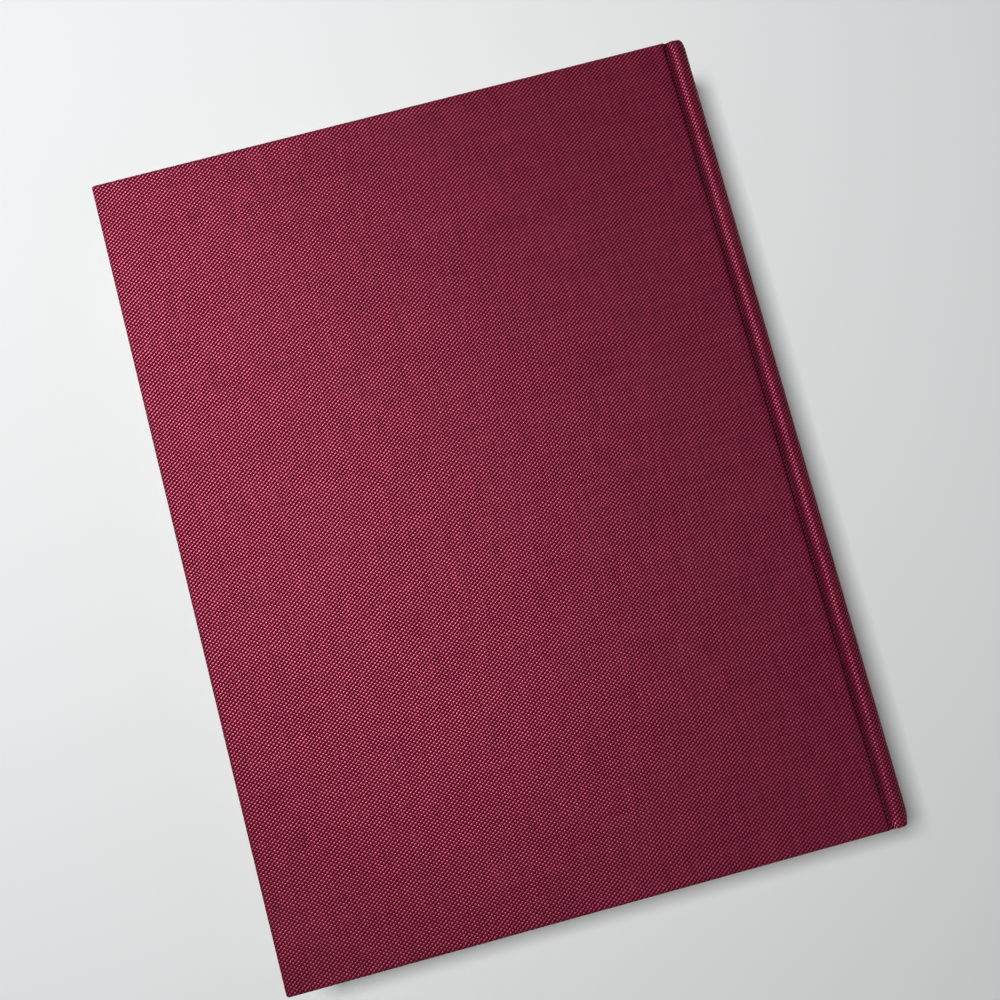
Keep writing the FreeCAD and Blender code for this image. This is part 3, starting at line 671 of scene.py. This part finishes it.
def make_case_cloth(name, reach, front):
    """The cloth from a cover's fore edge as far as reach along the section: a plain grid inside the rim,
    closest where it bends, and three strips that go out over the edge, round the board and in as far as the
    turn-in. Rounded in plan at the corners as far in as the corner's radius, and mitred further in. The
    front one is turned over."""
    column_x = [-99, 79, 88.7, 95.1, 96.8, 99.9]
    spacing = np.interp(outline[:, 0], column_x, [3.2, 3.2, 0.11, 0.13, 0.45, 0.9])
    tally = np.cumsum(line_step / spacing)
    runs = np.interp(np.arange(0, tally[-1]), tally, outline_run)
    runs = np.concatenate([[rim], runs[(runs > rim + 1.5) & (runs < reach - 0.05)], [reach]])
    heights = np.linspace(rim - case_half_height, case_half_height - rim, 111)
    inside = sheet_point(*np.broadcast_arrays(runs[None, :], heights[:, None], 0.0))
    inside_flat = np.stack(np.broadcast_arrays(runs[None, :], heights[:, None]), axis=-1)
    patches = [(inside, inside_flat, front)]

    thick = np.interp(runs, outline_run, np.hypot(*(inner_line - outline).T))
    bend = np.radians(np.linspace(0, 90, 6))[:, None]
    turned = np.array([1.6, 2.4, 3.5, 5.0, 7.0, 9.5, 12.0, turn_in])[:, None]

    def over_edge(thick):
        """Distance in from the edge and depth below the outer face, row by row over the board's edge."""
        radius = np.minimum(edge_round, thick / 2)[None, :]
        none = radius * 0
        inset = [rim + none, 2.6 + none, 1.5 + none, radius * (1 - np.sin(bend)), none]
        depth = [none, none, none, radius * (1 - np.cos(bend)), thick / 2 + none]
        inset += [radius * (1 - np.sin(bend[::-1])), turned + none]
        depth += [thick - radius * (1 - np.cos(bend[::-1])), thick + 0 * turned + none]
        inset, depth = np.concatenate(inset), np.concatenate(depth)
        path = np.cumsum(np.hypot(np.diff(inset, axis=0), np.diff(depth, axis=0)), axis=0)
        return inset, depth / thick, np.concatenate([none, path])

    fan = np.radians(np.linspace(0, 45, 5))
    for end in (1, -1):
        inset, share, path = over_edge(np.concatenate([np.full(5, board_stack), thick]))
        away = np.maximum(corner_round - inset[:, :5], 0)
        fan_run = np.maximum(inset[:, :5], corner_round) - away * np.sin(fan[::-1])
        fan_y = case_half_height - np.maximum(inset[:, :5], corner_round) + away * np.cos(fan[::-1])
        run = np.concatenate([fan_run, np.maximum(runs[None, :], inset[:, 5:])], axis=1)
        y = np.concatenate([fan_y, case_half_height - inset[:, 5:]], axis=1) * end
        unrolled = np.stack([run, end * (case_half_height - rim + path)], axis=-1)
        patches.append((sheet_point(run, y, share), unrolled, (end < 0) != front))

    inset, share, path = over_edge(np.full(len(heights) + 10, board_stack))
    away = np.maximum(corner_round - inset[:, :5], 0)
    held = np.maximum(inset[:, :5], corner_round)
    low_run = held - away * np.sin(np.pi / 2 - fan[::-1])
    low_y = -(case_half_height - held + away * np.cos(np.pi / 2 - fan[::-1]))
    limit = case_half_height - inset[:, 5:-5]
    run = np.concatenate([low_run, inset[:, 5:-5], low_run[:, ::-1]], axis=1)
    y = np.concatenate([low_y, np.clip(heights[None, :], -limit, limit), -low_y[:, ::-1]], axis=1)
    unrolled = np.stack([rim - path, y], axis=-1)
    patches.append((sheet_point(run, y, share), unrolled, front))
    if front:
        for grid, unrolled, _ in patches:
            grid[..., 2] = 2 * middle_height - grid[..., 2]
            unrolled[..., 0] = sheet_length - unrolled[..., 0]
    return make_surface(name, patches, closed=False)


def thicken(piece, thickness):
    """Gives a sheet its thickness, on the side away from its outer face."""
    wall = piece.modifiers.new("thickness", "SOLIDIFY")
    wall.thickness = thickness * mm
    wall.offset = -1


back_half = slice(len(outline) // 2)
joint_run = np.interp(joint_bottom, outline[back_half, 0], outline_run[back_half])
joint_off_middle = sheet_length / 2 - joint_run
seam_index = np.flatnonzero((outline[:, 1] < 4) & (outline[:, 0] < 92.004))[0]
joint_seam = outline_run[seam_index]
case_cloth = make_case_cloth("case_cloth", joint_seam, False)
front_cloth = make_case_cloth("front_cloth", sheet_length - joint_seam, True)
for piece in (case_cloth, front_cloth):
    thicken(piece, 0.33)
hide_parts("back_cover_cloth", "spine_cloth")
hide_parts("front_cover_cloth")
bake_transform(case_cloth)
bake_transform(front_cloth)

# The raised threads shine in their own colour, as silk-finished cotton does, and those between them are matt
# and dark: their own dye with painted shade in the gaps. In the joints, which are pressed in deep, both
# carry painted shade, darker and shining less.
book_cloth, tree, shader = new_material("book_cloth")
cloth_place = add_node(tree, "ShaderNodeUVMap", {}, uv_map="Unrolled").outputs[0]
woven = add_weave(tree, cloth_place, warp_pitch, weft_pitch, 0.45)
off_middle = add_node(tree, "ShaderNodeSeparateXYZ", {0: cloth_place}).outputs["X"]
off_middle = calculate(tree, "ABSOLUTE", calculate(tree, "SUBTRACT", off_middle, sheet_length / 2 * mm))
off_joint = calculate(tree, "ABSOLUTE", calculate(tree, "SUBTRACT", off_middle, joint_off_middle * mm))
# Painted shade in the joints: there the cloth is darker and shines less.
clear_of_joint_shade = spread(tree, off_joint, 0.0004, 0.0019, 0.38, 1.0)
bright_thread = calculate(tree, "MULTIPLY", woven["Warp on top"], clear_of_joint_shade)
threads = mix_colours(tree, woven["Warp on top"], cloth_dye_and_gap_shade, cloth_float)
threads = mix_colours(tree, clear_of_joint_shade, cloth_joint_shade, threads)
deeper_dye = spread(tree, woven["Thread tint"], 0.0, 1.0, 0.35, 0.0)
threads = mix_colours(tree, deeper_dye, threads, cloth_dark_thread)
worn = spread(tree, noise(tree, cloth_place, 34.0, 4.0), 0.42, 0.7, 0.0, 0.03)
tree.links.new(mix_colours(tree, worn, threads, cloth_handled), shader.inputs["Base Color"])
tree.links.new(spread(tree, woven["Warp on top"], 0.0, 0.8, 0.75, 0.39), shader.inputs["Roughness"])
shader.inputs["Specular IOR Level"].default_value = 0.02
tree.links.new(calculate(tree, "MULTIPLY", bright_thread, silky), shader.inputs["Metallic"])
bump(tree, shader, woven["Height"], 0.00016, 0.8)
give_material([case_cloth, front_cloth], book_cloth)


# The endpapers: a folded sheet of cream paper at each end of the pages. One half is the flyleaf, and the
# other is pasted down inside the cover, over the turned-in cloth and the gauze, across the joint.

paste_from, paste_to = -96.41, 92.0
paste_height = 24.42  # of its outer face where it lies on the turned-in cloth
flange_from = 62.10
flange_half_height = 110.0
paper_pale = (0.80, 0.73, 0.60, 1)
paper_shade = (0.72, 0.64, 0.50, 1)
paper_fleck = (0.45, 0.36, 0.26, 1)


def make_pastedown(name, side):
    """A sheet under the cover: lowered where it lies on the turned-in cloth, raised inside it, with a faint
    ridge over the gauze, and past the board it drops to the fold at the first page. side is 1 for the back
    cover and -1 for the front one."""
    x = np.concatenate(
        [
            np.linspace(paste_from, -78, 34),
            np.linspace(-78, 58, 46)[1:],
            np.linspace(58, 89.2, 40)[1:],
            np.linspace(89.2, paste_to, 42)[1:],
        ]
    )[None, :]
    half = np.concatenate([np.linspace(0, 106, 36), np.linspace(106, page_half_height, 48)[1:]])
    y = np.concatenate([-half[:0:-1], half])[:, None]
    inside = np.clip((x - case_edge - turn_in + 0.3) / 1.2, 0, 1) * np.clip((115.3 - np.abs(y)) / 1.2, 0, 1)
    on_flange = np.clip((x - flange_from + 0.4) / 0.8, 0, 1)
    on_flange = on_flange * np.clip((flange_half_height + 0.6 - np.abs(y)) / 0.8, 0, 1)
    rise = 0.12 * inside**2 * (3 - 2 * inside) - 0.045 * on_flange
    past_board = np.clip((x - 89.35) / 2.4, 0, 1)
    ease = past_board**2 * (3 - 2 * past_board)
    z = paste_height + rise * (1 - ease) - 0.07 * ease
    x, y, z = np.broadcast_arrays(x, y, z)
    z = z - 0.10 * np.clip((x - 91.35) / 0.65, 0, 1) ** 2
    grid = np.stack([x, y, middle_height + side * (z - middle_height)], axis=-1)
    paper = make_surface(name, [(grid, grid[..., :2], side > 0)], closed=False)
    thicken(paper, 0.15)
    return paper


back_paste = make_pastedown("back_pasted_paper", 1)
front_paste = make_pastedown("front_pasted_paper", -1)
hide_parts("back_pastedown")
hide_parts("front_pastedown")
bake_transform(back_paste)
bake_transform(front_paste)

endpaper, tree, shader = new_material("endpaper")
fibres = add_fibres(tree, 0.0006)
leaf_colour = mix_colours(tree, fibres.outputs["Cloudiness"], paper_pale, paper_shade)
flecked = calculate(tree, "MULTIPLY", fibres.outputs["Fleck"], 0.3)
leaf_colour = mix_colours(tree, flecked, leaf_colour, paper_fleck)
tree.links.new(leaf_colour, shader.inputs["Base Color"])
shader.inputs["Roughness"].default_value = 0.88
shader.inputs["Specular IOR Level"].default_value = 0.25
bump(tree, shader, fibres.outputs["Height"], 0.00002)
give_material([back_paste, front_paste], endpaper)
give_material([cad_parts["back_flyleaf"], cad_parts["front_flyleaf"]], endpaper)


# The table and the light: a plain pale floor, one soft lamp like a window above the fore edge, and a weak
# fill from the tail and from all round. Far off, the floor and the room are plain white to the camera only,
# so they light nothing.

floor_grey = (0.74, 0.75, 0.745, 1)
background_white = (0.92, 0.93, 0.95, 1)
background_level = 0.78
room_level = 0.09
floor_mesh = bpy.data.meshes.new("floor")
floor_mesh.from_pydata([(-4, -4, 0), (4, -4, 0), (4, 4, 0), (-4, 4, 0)], [], [(0, 1, 2, 3)])
floor = bpy.data.objects.new("floor", floor_mesh)
bpy.context.collection.objects.link(floor)
floor.location.z = -0.0002
pale, tree, shader = new_material("pale_floor")
shader.inputs["Roughness"].default_value = 0.9
shader.inputs["Specular IOR Level"].default_value = 0.1
floor_place = add_node(tree, "ShaderNodeTexCoord", {}).outputs["Object"]
distance = add_node(tree, "ShaderNodeVectorMath", {0: floor_place}, operation="LENGTH").outputs["Value"]
seen = add_node(tree, "ShaderNodeLightPath", {}).outputs["Is Camera Ray"]
far_off = calculate(tree, "MULTIPLY", spread(tree, distance, 0.45, 1.5), seen)
shader.inputs["Emission Color"].default_value = background_white
tree.links.new(calculate(tree, "MULTIPLY", far_off, background_level), shader.inputs["Emission Strength"])
tree.links.new(mix_colours(tree, far_off, floor_grey, (0, 0, 0, 1)), shader.inputs["Base Color"])
give_material([floor], pale)


def add_lamp(name, place, aim, along, across, power, colour):
    """A soft rectangular lamp at a place, turned to what it lights, unseen itself."""
    lamp = bpy.data.lights.new(name, "AREA")
    lamp.shape = "RECTANGLE"
    lamp.size, lamp.size_y = along, across
    lamp.energy = power
    lamp.color = colour
    holder = bpy.data.objects.new(name, lamp)
    holder.location = place
    holder.rotation_euler = (Vector(place) - Vector(aim)).to_track_quat("Z", "Y").to_euler()
    holder.visible_camera = False
    bpy.context.collection.objects.link(holder)


add_lamp("window_light", (-0.26, 0.20, 0.82), (0.02, 0.20, 0.0), 0.24, 0.26, 8.1, (0.98, 0.99, 1.0))
add_lamp("room_fill", (1.0, -0.9, 0.7), (0, 0, 0.02), 1.0, 1.0, 0.9, (1.0, 0.99, 0.98))

world = bpy.data.worlds.new("room")
bpy.context.scene.world = world
world.use_nodes = True
sky = world.node_tree.nodes["Background"]
sky.inputs["Color"].default_value = background_white
seen = add_node(world.node_tree, "ShaderNodeLightPath", {}).outputs["Is Camera Ray"]
sky_level = spread(world.node_tree, seen, 0.0, 1.0, room_level, background_level)
world.node_tree.links.new(sky_level, sky.inputs["Strength"])


# The camera: it looks straight down on the book from a little over 30 cm, turned so that the book's head
# leans to the left.

eye = Vector((-0.00796, -0.02173, 0.3249))
looks_at = Vector((0.00082, -0.00092, 0.028))
lean = np.radians(14.87)
camera = bpy.data.cameras.new("camera")
camera.sensor_width = 36
camera.lens = 34.2
camera.clip_start = 0.01
camera_holder = bpy.data.objects.new("camera", camera)
backward = (eye - looks_at).normalized()
sideways = Vector((np.sin(lean), np.cos(lean), 0)).cross(backward).normalized()
upward = backward.cross(sideways)
turn = Matrix((sideways, upward, backward)).transposed().to_4x4()
camera_holder.matrix_world = Matrix.Translation(eye) @ turn
bpy.context.collection.objects.link(camera_holder)
bpy.context.scene.camera = camera_holder

bpy.context.scene.view_settings.view_transform = "Standard"
